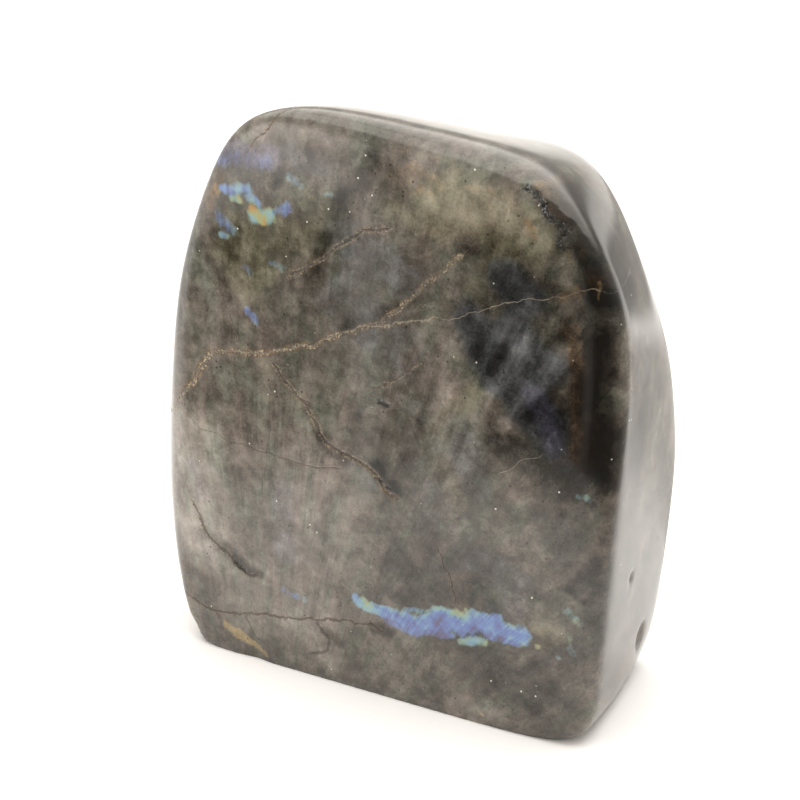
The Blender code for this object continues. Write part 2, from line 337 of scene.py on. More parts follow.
    "flashColours": ["#5f5b7a", "#6370a2", "#6a84b6", "#7fa2af", "#8ca48a", "#a09665", "#a98350"],
    "seamDark": "#2a1f16", "seamPale": "#948b79", "seamBrown": "#6b5745", "seamTan": "#b8a98a",
    # the glint colour is a painted highlight, for the light that crystals catch
    "speckCell": 1.1, "speckColour": "#17130d", "paintedGlintCell": 1.8, "paintedGlintColour": "#efe9da",
    # the dark crumb colour is also the painted shade inside the hollows and pits; the light crumb colour is painted
    # glitter
    "crumbDarkAndShade": "#211d15", "paintedCrumbGlitter": "#7c828a",
}


def direction(bearing, tilt):
    turn, rise = math.radians(bearing), math.radians(tilt)
    return np.array((math.sin(turn) * math.cos(rise), -math.cos(turn) * math.cos(rise), math.sin(rise)))


def groundRadius(directions):
    # distance from the middle to the ground surface, by the rule that the grinding nodes repeat
    total = 0
    for bearing, tilt, distance in stone["groundFaces"].values():
        total = total + (np.maximum(directions @ direction(bearing, tilt), 0) / distance) ** stone["edgeSharpness"]
    return total ** (-1 / stone["edgeSharpness"])


def ballDirections(ball):
    return np.array([vert.co.normalized() for vert in ball.verts])


def footprintMiddle():
    # the ground shape isn't centred on its middle, but the finished stone is centred over the origin
    dome = bmesh.new()
    bmesh.ops.create_icosphere(dome, subdivisions=6, radius=1)
    directions = ballDirections(dome)
    dome.free()
    points = directions * groundRadius(directions)[:, None]
    points = points[points[:, 2] > -stone["middleHeight"]]
    return (points.min(axis=0) + points.max(axis=0))[:2] / 2


stoneShift = footprintMiddle()


def stonePoints(directions):
    points = directions * groundRadius(directions)[:, None]
    return points + np.array((-stoneShift[0], -stoneShift[1], stone["middleHeight"]))


def smoothLine(places, step=0.5):
    # a soft curve through the places, with a point about every half millimetre
    control = np.array([places[0]] + list(places) + [places[-1]], float)
    line = []
    for a, b, c, d in zip(control, control[1:], control[2:], control[3:]):
        for t in np.linspace(0, 1, max(2, int(np.linalg.norm(c - b) / step)), endpoint=False):
            line.append(0.5 * (2 * b + (c - a) * t + (2 * a - 5 * b + 4 * c - d) * t**2
                               + (3 * b - a - 3 * c + d) * t**3))
    return np.array(line + [control[-1]])


def sideOfLine(points, line):
    # signed distance from each point to a line of short straight pieces, and how far it is from the line's ends
    best = np.full(len(points), 1e9)
    sign = np.ones(len(points))
    along = np.zeros(len(points))
    steps = np.diff(line, axis=0)
    lengths = np.linalg.norm(steps, axis=1)
    passed = np.concatenate([[0], np.cumsum(lengths)])
    tangents = steps / lengths[:, None]
    for i, (start, step) in enumerate(zip(line, steps)):
        offset = points - start
        share = np.clip((offset @ step) / (step @ step), 0, 1)
        gap = offset - share[:, None] * step
        distance = np.hypot(gap[:, 0], gap[:, 1])
        tangent = np.where((share <= 0)[:, None], tangents[max(i - 1, 0)] + tangents[i], tangents[i])
        tangent = np.where((share >= 1)[:, None], tangents[i] + tangents[min(i + 1, len(steps) - 1)], tangent)
        nearer = distance < best
        best = np.where(nearer, distance, best)
        sign = np.where(nearer, np.sign(tangent[:, 0] * gap[:, 1] - tangent[:, 1] * gap[:, 0]), sign)
        along = np.where(nearer, passed[i] + share * lengths[i], along)
    return best * np.where(sign == 0, 1, sign), np.minimum(along, passed[-1] - along)


def strokeLevel(points, stroke):
    # 1 in the middle of a stroke, falling softly to 0 at its edge
    start, end = np.array(stroke[0:2], float), np.array(stroke[2:4], float)
    step = end - start
    share = np.clip(((points - start) @ step) / max(step @ step, 1e-6), 0, 1)
    near = np.linalg.norm(points - start - share[:, None] * step, axis=1) / stroke[4]
    fall = np.clip(1.25 - near, 0, 1)
    return fall * fall * (3 - 2 * fall)


def wander(points, size, amount, seed):
    return np.array([noise.noise_vector(Vector(p) / size + Vector((seed, 0, 0))) for p in points]) * amount


def faceShares(points):
    # how much of each point belongs to the front's pattern and to the back's
    return {"front": np.clip((-8 - points[:, 1]) / 10, 0, 1), "back": np.clip((points[:, 1] - 6) / 10, 0, 1)}


def hollowDepths(points):
    depth = np.zeros(len(points))
    dark = np.zeros(len(points))
    for bearing, tilt, radius, floor, insideShade in stone["hollows"].values():
        centre = stonePoints(direction(bearing, tilt)[None])[0]
        reach = np.clip(1 - np.linalg.norm(points - centre, axis=1) / radius, 0, 1)
        here = floor * reach * reach * (3 - 2 * reach)
        dark = np.where(here > depth, insideShade, dark)
        depth = np.maximum(depth, here)
    return depth, dark


def wantedSpacing(points):
    # fine where a seam, a chip or a flash needs it, and coarser elsewhere
    spacing = np.full(len(points), stone["meshSpacing"]["plain"])
    flat = points[:, [0, 2]]
    shares = faceShares(points)
    for face, share in shares.items():
        for stroke in stone["flashes"][face]:
            spacing[(strokeLevel(flat, stroke) > 0) & (share > 0)] = stone["meshSpacing"]["flash"]
        for stroke in stone["strokes"]["crumble"][face] + stone["strokes"]["tan"][face]:
            spacing[(strokeLevel(flat, stroke) > 0) & (share > 0)] = stone["meshSpacing"]["seam"]
    spacing[hollowDepths(points)[0] > 0.03] = stone["meshSpacing"]["hollow"]
    for seam in stone["seams"]:
        candidates = np.flatnonzero(shares[seam["face"]] > 0)
        distance, fromEnd = sideOfLine(flat[candidates], smoothLine(seam["places"], 2))
        spacing[candidates[np.abs(distance) < 1.1]] = stone["meshSpacing"]["seam"]
    return spacing


def refinedBlank():
    # a ball whose edges are split until each is short enough for the place on the stone that it will cover
    ball = bmesh.new()
    bmesh.ops.create_icosphere(ball, subdivisions=6, radius=1)
    for turn in range(7):
        ball.verts.index_update()
        points = stonePoints(ballDirections(ball))
        spacing = wantedSpacing(points)
        ends = np.array([[vert.index for vert in edge.verts] for edge in ball.edges])
        length = np.linalg.norm(points[ends[:, 0]] - points[ends[:, 1]], axis=1)
        tooLong = length > 1.3 * spacing[ends].min(axis=1)
        if not tooLong.any():
            break
        # a face has one edge or all three split, because two would leave slivers
        ball.edges.index_update()
        sides = np.array([[edge.index for edge in face.edges] for face in ball.faces])
        while (tooLong[sides].sum(axis=1) == 2).any():
            tooLong[sides[tooLong[sides].sum(axis=1) == 2]] = True
        edges = [edge for edge, split in zip(ball.edges, tooLong) if split]
        bmesh.ops.subdivide_edges(ball, edges=edges, cuts=1)
        bmesh.ops.triangulate(ball, faces=[face for face in ball.faces if len(face.verts) > 3])
        for vert in ball.verts:
            vert.co.normalize()
    mesh = bpy.data.meshes.new("stone blank")
    ball.to_mesh(mesh)
    ball.free()
    return mesh


def storeOnPoints(mesh, name, values):
    attribute = mesh.attributes.new(name, "FLOAT", "POINT")
    attribute.data.foreach_set("value", np.ascontiguousarray(values, np.float32))


def paintStone(mesh):
    # stores on each point of the blank what the ground stone shows there
    points = stonePoints(np.array([vert.co.normalized() for vert in mesh.vertices]))
    shares = faceShares(points)
    softly = (points + wander(points, 9, 1.4, 3) + wander(points, 2.4, 0.6, 11))[:, [0, 2]]
    closely = (points + wander(points, 1.6, 0.5, 17))[:, [0, 2]]
    for name, faces in stone["strokes"].items():
        flat = closely if name in ("tan", "crumble", "specksAndGlints") else softly
        levels = [shares[face] * strokeLevel(flat, s) * s[5] for face, strokes in faces.items() for s in strokes]
        storeOnPoints(mesh, name, np.sum(levels, axis=0))

    ragged = (points + wander(points, 4, 0.9, 3) + wander(points, 1.3, 0.5, 19))[:, [0, 2]]
    levels = []
    hues = []
    for face, strokes in stone["flashes"].items():
        levels += [shares[face] * strokeLevel(ragged, s) * s[5] for s in strokes]
        hues += [s[6] for s in strokes]
    weights = np.array(levels) ** 3
    storeOnPoints(mesh, "flash", np.max(levels, axis=0))
    storeOnPoints(mesh, "flashHue", (weights.T @ hues) / np.maximum(weights.sum(axis=0), 1e-6))

    jittered = (points + wander(points, 3.4, 0.7, 5) + wander(points, 1.1, 0.28, 7))[:, [0, 2]]
    side = np.full(len(points), 9.0)
    seamValues = {"strength": np.zeros(len(points)), "pale": np.zeros(len(points)),
                  "stain": np.zeros(len(points)), "width": np.full(len(points), 0.2)}
    for seam in stone["seams"]:
        candidates = np.flatnonzero(shares[seam["face"]] > 0.2)
        distance, fromEnd = sideOfLine(jittered[candidates], smoothLine(seam["places"]))
        nearer = np.abs(distance) < np.abs(side[candidates])
        chosen = candidates[nearer]
        side[chosen] = distance[nearer]
        seamValues["strength"][chosen] = np.clip(0.2 + fromEnd[nearer] / 1.5, 0, 1) * (np.abs(distance[nearer]) < 3)
        for name in ("pale", "stain", "width"):
            seamValues[name][chosen] = seam[name]
    storeOnPoints(mesh, "seamSide", side / seamValues["width"])
    storeOnPoints(mesh, "seamStrength", seamValues["strength"])
    storeOnPoints(mesh, "seamPale", seamValues["pale"])
    storeOnPoints(mesh, "seamStain", seamValues["stain"])

    # dark is the painted shade inside each hollow
    hollow, dark = hollowDepths(points)
    rough = np.array([noise.fractal(Vector(p) / 1.3, 1.0, 2.0, 3) if h > 0 else 0 for p, h in zip(points, hollow)])
    groove = 0.09 * np.exp(-(side / (1.2 * seamValues["width"])) ** 2) * seamValues["strength"]
    storeOnPoints(mesh, "sink", hollow * (1 + 0.3 * rough) + groove * (1 - 0.8 * seamValues["pale"]))
    storeOnPoints(mesh, "broken", np.clip(hollow * 1.8, 0, 1))
    storeOnPoints(mesh, "brokenShade", dark)


def grindingNodes(material):
    # draws the ball in to the ground faces, sinks it where marked, and pits the crumbling places
    tree = bpy.data.node_groups.new("grind stone", "GeometryNodeTree")
    tree.interface.new_socket("Geometry", in_out="INPUT", socket_type="NodeSocketGeometry")
    for name in ("Edge Sharpness", "Swell Height", "Swell Length", "Pit Spacing", "Pit Radius", "Pit Depth"):
        tree.interface.new_socket(name, in_out="INPUT", socket_type="NodeSocketFloat")
    tree.interface.new_socket("Middle", in_out="INPUT", socket_type="NodeSocketVector")
    tree.interface.new_socket("Pit Seed", in_out="INPUT", socket_type="NodeSocketInt")
    tree.interface.new_socket("Geometry", in_out="OUTPUT", socket_type="NodeSocketGeometry")
    given = addNode(tree, "NodeGroupInput")
    here = addNode(tree, "GeometryNodeInputPosition")[0]
    towards = addNode(tree, "ShaderNodeVectorMath", {"operation": "NORMALIZE"}, {0: here})[0]

    total = 0.0
    for bearing, tilt, distance in stone["groundFaces"].values():
        # 50 over the distance keeps the powers near 1, and the radius is multiplied by 50 mm again below
        normal = direction(bearing, tilt) * 50 / distance
        slope = addNode(tree, "ShaderNodeVectorMath", {"operation": "DOT_PRODUCT"}, {0: towards, 1: normal})["Value"]
        facing = addNode(tree, "ShaderNodeMath", {"operation": "MAXIMUM"}, {0: slope, 1: 0.0})[0]
        raised = addNode(tree, "ShaderNodeMath", {"operation": "POWER"}, {0: facing, 1: given["Edge Sharpness"]})[0]
        total = addNode(tree, "ShaderNodeMath", {"operation": "ADD"}, {0: raised, 1: total})[0]
    root = addNode(tree, "ShaderNodeMath", {"operation": "DIVIDE"}, {0: -1.0, 1: given["Edge Sharpness"]})[0]
    radius = addNode(tree, "ShaderNodeMath", {"operation": "POWER"}, {0: total, 1: root})[0]
    radius = addNode(tree, "ShaderNodeMath", {"operation": "MULTIPLY"}, {0: radius, 1: 50 * mm})[0]

    # grinding by hand leaves the faces very slightly swollen
    ground = addNode(tree, "ShaderNodeVectorMath", {"operation": "SCALE"}, {0: towards, "Scale": radius})[0]
    perLength = addNode(tree, "ShaderNodeMath", {"operation": "DIVIDE"}, {0: 1.0, 1: given["Swell Length"]})[0]
    swell = addNode(tree, "ShaderNodeTexNoise", None, {"Vector": ground, "Scale": perLength, "Detail": 1.0})[0]
    swell = addNode(tree, "ShaderNodeMath", {"operation": "SUBTRACT"}, {0: swell, 1: 0.5})[0]
    swell = addNode(tree, "ShaderNodeMath", {"operation": "MULTIPLY"}, {0: swell, 1: given["Swell Height"]})[0]
    sink = addNode(tree, "GeometryNodeInputNamedAttribute", {"data_type": "FLOAT"}, {"Name": "sink"})["Attribute"]
    sunk = addNode(tree, "ShaderNodeMath", {"operation": "MULTIPLY_ADD"}, {0: sink, 1: -mm, 2: swell})[0]
    reach = addNode(tree, "ShaderNodeMath", {"operation": "ADD"}, {0: radius, 1: sunk})[0]
    placed = addNode(tree, "ShaderNodeVectorMath", {"operation": "SCALE"}, {0: towards, "Scale": reach})[0]
    placed = addNode(tree, "ShaderNodeVectorMath", {"operation": "ADD"}, {0: placed, 1: given["Middle"]})[0]
    body = addNode(tree, "GeometryNodeSetPosition", None, {"Geometry": given["Geometry"], "Position": placed})[0]

    # pits are scattered over the crumbling grains, never closer together than the spacing
    crumble = addNode(tree, "GeometryNodeInputNamedAttribute", {"data_type": "FLOAT"}, {"Name": "crumble"})["Attribute"]
    scattered = addNode(tree, "GeometryNodeDistributePointsOnFaces", {"distribute_method": "POISSON"},
                        {"Mesh": body, "Distance Min": given["Pit Spacing"], "Density Max": 4e6,
                         "Density Factor": crumble, "Seed": given["Pit Seed"]})["Points"]
    nearest = addNode(tree, "GeometryNodeSampleNearest", {"domain": "POINT"},
                      {"Geometry": scattered, "Sample Position": here})[0]
    pitPlace = addNode(tree, "GeometryNodeSampleIndex", {"data_type": "FLOAT_VECTOR", "domain": "POINT"},
                       {"Geometry": scattered, "Value": here, "Index": nearest})[0]
    away = addNode(tree, "ShaderNodeVectorMath", {"operation": "DISTANCE"}, {0: here, 1: pitPlace})["Value"]
    size = addNode(tree, "FunctionNodeRandomValue", {"data_type": "FLOAT"},
                   {2: 0.5, 3: 1.3, "ID": nearest, "Seed": given["Pit Seed"]})[1]
    size = addNode(tree, "ShaderNodeMath", {"operation": "MULTIPLY"}, {0: size, 1: given["Pit Radius"]})[0]
    share = addNode(tree, "ShaderNodeMath", {"operation": "DIVIDE"}, {0: away, 1: size})[0]
    bowl = addNode(tree, "ShaderNodeMath", {"operation": "SUBTRACT", "use_clamp": True}, {0: 1.0, 1: share})[0]
    inside = addNode(tree, "ShaderNodeMath", {"operation": "MULTIPLY"}, {0: bowl, 1: crumble})[0]
    depth = addNode(tree, "ShaderNodeMath", {"operation": "MULTIPLY"}, {0: inside, 1: given["Pit Depth"]})[0]
    inwards = addNode(tree, "ShaderNodeMath", {"operation": "MULTIPLY"}, {0: depth, 1: -1.0})[0]
    surface = addNode(tree, "GeometryNodeInputNormal")[0]
    offset = addNode(tree, "ShaderNodeVectorMath", {"operation": "SCALE"}, {0: surface, "Scale": inwards})[0]
    # the pit share goes to the material, which darkens the colour in each pit as painted shade
    marked = addNode(tree, "GeometryNodeStoreNamedAttribute", {"data_type": "FLOAT", "domain": "POINT"},
                     {"Geometry": body, "Name": "pit", "Value": inside})[0]
    pitted = addNode(tree, "GeometryNodeSetPosition", None, {"Geometry": marked, "Offset": offset})[0]

    smooth = addNode(tree, "GeometryNodeSetShadeSmooth", None, {"Geometry": pitted})[0]
    real = addNode(tree, "GeometryNodeRealizeInstances", None, {"Geometry": smooth})[0]
    finished = addNode(tree, "GeometryNodeSetMaterial", None, {"Geometry": real, "Material": material})[0]
    addNode(tree, "NodeGroupOutput", None, {0: finished})
    return tree


def makeStone(material):
    blank = bpy.data.objects.new("stone blank", refinedBlank())
    bpy.context.scene.collection.objects.link(blank)
    paintStone(blank.data)
    grind = blank.modifiers.new("Grind", "NODES")
    grind.node_group = grindingNodes(material)
    sizes = {
        "Edge Sharpness": stone["edgeSharpness"],
        "Swell Height": stone["swellHeight"] * mm * 2,
        "Swell Length": stone["swellLength"] * mm,
        "Middle": (-stoneShift[0] * mm, -stoneShift[1] * mm, stone["middleHeight"] * mm),
        "Pit Seed": stone["pitSeed"],
    }
    sizes.update({name: size * mm for name, size in stone["pits"].items()})
    for socket in grind.node_group.interface.items_tree:
        if socket.in_out == "INPUT" and socket.name in sizes:
            grind[socket.identifier] = sizes[socket.name]
    evaluated = blank.evaluated_get(bpy.context.evaluated_depsgraph_get())
    mesh = bpy.data.meshes.new_from_object(evaluated)
    bpy.data.objects.remove(blank)

    # the base is sawn flat
    shape = bmesh.new()
    shape.from_mesh(mesh)
    everything = shape.verts[:] + shape.edges[:] + shape.faces[:]
    bmesh.ops.bisect_plane(shape, geom=everything, plane_co=(0, 0, 0), plane_no=(0, 0, 1), clear_inner=True)
    bmesh.ops.remove_doubles(shape, verts=shape.verts[:], dist=0.002 * mm)
    rim = [edge for edge in shape.edges if edge.is_boundary]
    for base in bmesh.ops.contextual_create(shape, geom=rim)["faces"]:
        base.smooth = False
    bmesh.ops.recalc_face_normals(shape, faces=shape.faces[:])
    shape.to_mesh(mesh)
    shape.free()
    mesh.validate()
    mesh.name = "polished stone"
    made = bpy.data.objects.new("polished_stone", mesh)
    bpy.context.scene.collection.objects.link(made)
    return made


def polishedLabradorite():
    # Labradorite, a feldspar, ground and polished by hand. The gloss is that of glass over a cloudy body in which
    # thin layers show as streaks; where they face the light they flash blue and gold from inside, a sheen painted here
    # into the colour.
    material = bpy.data.materials.new("polished labradorite")
    material.use_nodes = True
    tree = material.node_tree
    shader = tree.nodes["Principled BSDF"]
    place = addNode(tree, "ShaderNodeTexCoord")["Object"]
    bend = addNode(tree, "ShaderNodeTexNoise", None,
                   {"Vector": place, "Scale": 1 / (stone["bendSize"] * mm), "Detail": 3.0})["Color"]
    bend = addNode(tree, "ShaderNodeVectorMath", {"operation": "SUBTRACT"}, {0: bend, 1: (0.5, 0.5, 0.5)})[0]

    # coordinates that run across the layers, into the stone and along the layers
    fan = stone["fan"]
    fromFan = addNode(tree, "ShaderNodeVectorMath", {"operation": "SUBTRACT"},
                      {0: place, 1: (fan["from"][0] * mm, 0, fan["from"][1] * mm)})[0]
    parts = addNode(tree, "ShaderNodeSeparateXYZ", None, {0: fromFan})
    turn = addNode(tree, "ShaderNodeMath", {"operation": "ARCTAN2"}, {0: parts[0], 1: parts[2]})[0]
    across = addNode(tree, "ShaderNodeMath", {"operation": "MULTIPLY"}, {0: turn, 1: fan["radius"] * mm})[0]
    flat = addNode(tree, "ShaderNodeVectorMath", {"operation": "MULTIPLY"}, {0: fromFan, 1: (1, 0, 1)})[0]
    along = addNode(tree, "ShaderNodeVectorMath", {"operation": "LENGTH"}, {0: flat})["Value"]
    fanned = addNode(tree, "ShaderNodeCombineXYZ", None, {0: across, 1: parts[1], 2: along})[0]

    made = {}
    for name, pattern in stone["patterns"].items():
        at = addNode(tree, "ShaderNodeVectorMath", {"operation": "MULTIPLY_ADD"},
                     {0: bend, 1: [pattern["warp"] * mm] * 3, 2: fanned if "fanned" in pattern else place})[0]
        if "stretch" in pattern:
            at = addNode(tree, "ShaderNodeVectorMath", {"operation": "DIVIDE"}, {0: at, 1: pattern["stretch"]})[0]
        made[name] = addNode(tree, "ShaderNodeTexNoise", None,
                             {"Vector": at, "Scale": 1 / (pattern["size"] * mm), "Detail": pattern["detail"],
                              "Roughness": pattern["roughness"]})[0]
    crystals = stone["crystals"]
    at = addNode(tree, "ShaderNodeVectorMath", {"operation": "MULTIPLY_ADD"},
                 {0: bend, 1: [crystals["warp"] * mm] * 3, 2: fanned})[0]
    at = addNode(tree, "ShaderNodeVectorMath", {"operation": "DIVIDE"}, {0: at, 1: crystals["stretch"]})[0]
    each = addNode(tree, "ShaderNodeTexVoronoi", None, {"Vector": at, "Scale": 1 / (crystals["size"] * mm)})["Color"]
    each = addNode(tree, "ShaderNodeSeparateColor", None, {0: each})
    made["domains"] = each[1]
    toEdge = addNode(tree, "ShaderNodeTexVoronoi", {"feature": "DISTANCE_TO_EDGE"},
                     {"Vector": at, "Scale": 1 / (crystals["size"] * mm)})[0]
    marks = {}
    for name in list(stone["strokes"]) + ["seamSide", "seamStrength", "seamPale", "seamStain", "flash", "flashHue",
                                          "broken", "brokenShade", "pit"]:
        marks[name] = addNode(tree, "ShaderNodeAttribute", {"attribute_name": name})["Fac"]

    # the shade, from dark to milky
    level = stone["middleShade"] - sum(stone["shadeFrom"].values()) / 2
    shade = addNode(tree, "ShaderNodeMath", {"operation": "ADD"}, {0: marks["shade"], 1: level})[0]
    for name, amount in stone["shadeFrom"].items():
        shade = addNode(tree, "ShaderNodeMath", {"operation": "MULTIPLY_ADD"}, {0: made[name], 1: amount, 2: shade})[0]
    for name, mark, amount in (("streaks", "streaks", 0.42), ("layers", "lamellae", 0.17)):
        part = addNode(tree, "ShaderNodeMath", {"operation": "SUBTRACT"}, {0: made[name], 1: 0.5})[0]
        part = addNode(tree, "ShaderNodeMath", {"operation": "MULTIPLY"}, {0: part, 1: amount})[0]
        shade = addNode(tree, "ShaderNodeMath", {"operation": "MULTIPLY_ADD"}, {0: part, 1: marks[mark], 2: shade})[0]

    tone = addNode(tree, "ShaderNodeMath", {"operation": "SUBTRACT"}, {0: each[0], 1: 0.5})[0]
    shade = addNode(tree, "ShaderNodeMath", {"operation": "MULTIPLY_ADD"},
                    {0: tone, 1: crystals["shade"], 2: shade})[0]
    edge = addNode(tree, "ShaderNodeMapRange", None, {0: toEdge, 1: 0.0, 2: crystals["edge"], 3: 1.0, 4: 0.0})[0]
    edged = addNode(tree, "ShaderNodeMapRange", None, {0: made["broad"], 1: 0.48, 2: 0.56})[0]
    edge = addNode(tree, "ShaderNodeMath", {"operation": "MULTIPLY"}, {0: edge, 1: edged})[0]
    shade = addNode(tree, "ShaderNodeMath", {"operation": "MULTIPLY_ADD"},
                    {0: edge, 1: crystals["edgeShade"], 2: shade})[0]

    colour = addNode(tree, "ShaderNodeValToRGB", None, {0: shade}, stone["body"])[0]
    for name, tint in stone["tints"].items():
        tinted = addNode(tree, "ShaderNodeValToRGB", None, {0: shade}, tint["colours"])[0]
        part = addNode(tree, "ShaderNodeMath", {"operation": "SUBTRACT"}, {0: made[tint["pattern"]], 1: 0.5})[0]
        part = addNode(tree, "ShaderNodeMath", {"operation": "MULTIPLY_ADD"},
                       {0: part, 1: tint["spread"], 2: marks.get(name, 0.5)})[0]
        share = addNode(tree, "ShaderNodeMapRange", {"interpolation_type": "SMOOTHSTEP"},
                        {0: part, 1: tint["from"], 2: tint["to"], 3: 0.0, 4: tint["strength"]})[0]
        colour = addNode(tree, "ShaderNodeMix", {"data_type": "RGBA"}, {0: share, 6: colour, 7: tinted})[2]

    # dark grains 0.4 mm across, and painted glints 0.3 mm across where crystals would catch the light, gathered where
    # they are marked
    for cell, ink, gathered, few, inner, outer, strength in (
            (stone["speckCell"], stone["speckColour"], 0.35, 0.03, 0.12, 0.34, 0.7),
            (stone["paintedGlintCell"], stone["paintedGlintColour"], 0.22, 0.035, 0.04, 0.16, 0.8)):
        cells = addNode(tree, "ShaderNodeTexVoronoi", None, {"Vector": place, "Scale": 1 / (cell * mm)})
        chance = addNode(tree, "ShaderNodeSeparateColor", None, {0: cells["Color"]})[0]
        wanted = addNode(tree, "ShaderNodeMath", {"operation": "MULTIPLY_ADD"},
                         {0: marks["specksAndGlints"], 1: gathered, 2: few})[0]
        chosen = addNode(tree, "ShaderNodeMath", {"operation": "LESS_THAN"}, {0: chance, 1: wanted})[0]
        spot = addNode(tree, "ShaderNodeMapRange", {"interpolation_type": "SMOOTHSTEP"},
                       {0: cells["Distance"], 1: inner, 2: outer, 3: strength, 4: 0.0})[0]
        share = addNode(tree, "ShaderNodeMath", {"operation": "MULTIPLY"}, {0: chosen, 1: spot})[0]
        colour = addNode(tree, "ShaderNodeMix", {"data_type": "RGBA"}, {0: share, 6: colour, 7: linear(ink)})[2]

    # seams: a feathered brown band, full of tan and dark grains, round a line that the grains break
    ragged = addNode(tree, "ShaderNodeMath", {"operation": "SUBTRACT"}, {0: made["crumbs"], 1: 0.5})[0]
    side = addNode(tree, "ShaderNodeMath", {"operation": "MULTIPLY_ADD"}, {0: ragged, 1: 3.4, 2: marks["seamSide"]})[0]
    apart = addNode(tree, "ShaderNodeMath", {"operation": "ABSOLUTE"}, {0: side})[0]
    line = addNode(tree, "ShaderNodeMapRange", {"interpolation_type": "SMOOTHSTEP"},
                   {0: apart, 1: 0.2, 2: 1.0, 3: 1.0, 4: 0.0})[0]
    line = addNode(tree, "ShaderNodeMath", {"operation": "MULTIPLY"}, {0: line, 1: marks["seamStrength"]})[0]
    stained = addNode(tree, "ShaderNodeMath", {"operation": "MULTIPLY"},
                      {0: marks["seamStain"], 1: marks["seamStrength"]})[0]
    patchy = addNode(tree, "ShaderNodeMapRange", {"interpolation_type": "SMOOTHSTEP"},
                     {0: made["mottle"], 1: 0.4, 2: 0.6, 3: 0.3, 4: 0.9})[0]
    for farthest, nearest, parts, ink in ((3.4, 0.8, patchy, linear(stone["seamBrown"])), (2.2, 0.9, None, None)):
        share = addNode(tree, "ShaderNodeMapRange", {"interpolation_type": "SMOOTHSTEP"},
                        {0: apart, 1: nearest, 2: farthest, 3: 1.0, 4: 0.0})[0]
        share = addNode(tree, "ShaderNodeMath", {"operation": "MULTIPLY"}, {0: share, 1: stained})[0]
        if ink is None:
            parts = addNode(tree, "ShaderNodeMapRange", None, {0: made["crumbs"], 1: 0.46, 2: 0.56, 3: 0.0, 4: 0.85})[0]
            kind = addNode(tree, "ShaderNodeMapRange", None, {0: made["grain"], 1: 0.47, 2: 0.54})[0]
            ink = addNode(tree, "ShaderNodeMix", {"data_type": "RGBA"},
                          {0: kind, 6: linear(stone["seamDark"]), 7: linear(stone["seamTan"])})[2]
        share = addNode(tree, "ShaderNodeMath", {"operation": "MULTIPLY"}, {0: share, 1: parts})[0]
        colour = addNode(tree, "ShaderNodeMix", {"data_type": "RGBA"}, {0: share, 6: colour, 7: ink})[2]
    lineColour = addNode(tree, "ShaderNodeMix", {"data_type": "RGBA"},
                         {0: marks["seamPale"], 6: linear(stone["seamDark"]), 7: linear(stone["seamPale"])})[2]
    share = addNode(tree, "ShaderNodeMath", {"operation": "MULTIPLY"}, {0: line, 1: 0.65})[0]
    colour = addNode(tree, "ShaderNodeMix", {"data_type": "RGBA"}, {0: share, 6: colour, 7: lineColour})[2]

    # flashes of painted sheen, ragged at their edges, greener at their rims, ruled by the layers that make them
    edge = addNode(tree, "ShaderNodeMath", {"operation": "SUBTRACT"}, {0: made["mottle"], 1: 0.5})[0]
    edge = addNode(tree, "ShaderNodeMath", {"operation": "MULTIPLY_ADD"}, {0: edge, 1: 1.0, 2: marks["flash"]})[0]
    ruled = addNode(tree, "ShaderNodeMath", {"operation": "SUBTRACT"}, {0: made["layers"], 1: 0.5})[0]
    edge = addNode(tree, "ShaderNodeMath", {"operation": "MULTIPLY_ADD"}, {0: ruled, 1: 0.45, 2: edge})[0]
    lit = addNode(tree, "ShaderNodeMapRange", {"interpolation_type": "SMOOTHSTEP"},
                  {0: edge, 1: 0.2, 2: 1.0, 3: 0.0, 4: 0.78})[0]
    inside = addNode(tree, "ShaderNodeMapRange", {"interpolation_type": "SMOOTHSTEP"},
                     {0: marks["flash"], 1: 0.03, 2: 0.3})[0]
    lit = addNode(tree, "ShaderNodeMath", {"operation": "MULTIPLY"}, {0: lit, 1: inside})[0]
    rim = addNode(tree, "ShaderNodeMapRange", {"interpolation_type": "SMOOTHSTEP"},
                  {0: edge, 1: 0.3, 2: 0.8, 3: 0.1, 4: 0.0})[0]
    hue = addNode(tree, "ShaderNodeMath", {"operation": "ADD"}, {0: marks["flashHue"], 1: rim})[0]
    shift = addNode(tree, "ShaderNodeMath", {"operation": "SUBTRACT"}, {0: made["patches"], 1: 0.5})[0]
    hue = addNode(tree, "ShaderNodeMath", {"operation": "MULTIPLY_ADD"}, {0: shift, 1: 1.3, 2: hue})[0]
    hue = addNode(tree, "ShaderNodeMath", {"operation": "MULTIPLY_ADD"}, {0: ruled, 1: 0.5, 2: hue})[0]
    flashed = addNode(tree, "ShaderNodeValToRGB", None, {0: hue}, stone["flashColours"])[0]
    colour = addNode(tree, "ShaderNodeMix", {"data_type": "RGBA"}, {0: lit, 6: colour, 7: flashed})[2]

    # crumbling grains are black, with painted glitter on their cleaved faces, and painted shade darkens the chips
    # inside and the pits
    crumbling = addNode(tree, "ShaderNodeMath", {"operation": "MULTIPLY_ADD"},
                        {0: ragged, 1: 1.6, 2: marks["crumble"]})[0]
    crumbling = addNode(tree, "ShaderNodeMapRange", {"interpolation_type": "SMOOTHSTEP"},
                        {0: crumbling, 1: 0.35, 2: 0.9, 3: 0.0, 4: 0.85})[0]
    paintedSparkle = addNode(tree, "ShaderNodeMapRange", {"interpolation_type": "SMOOTHSTEP"},
                      {0: made["grain"], 1: 0.56, 2: 0.68})[0]
    crumbAndGlitterColour = addNode(tree, "ShaderNodeMix", {"data_type": "RGBA"},
                          {0: paintedSparkle, 6: linear(stone["crumbDarkAndShade"]), 7: linear(stone["paintedCrumbGlitter"])})[2]
    colour = addNode(tree, "ShaderNodeMix", {"data_type": "RGBA"}, {0: crumbling, 6: colour, 7: crumbAndGlitterColour})[2]
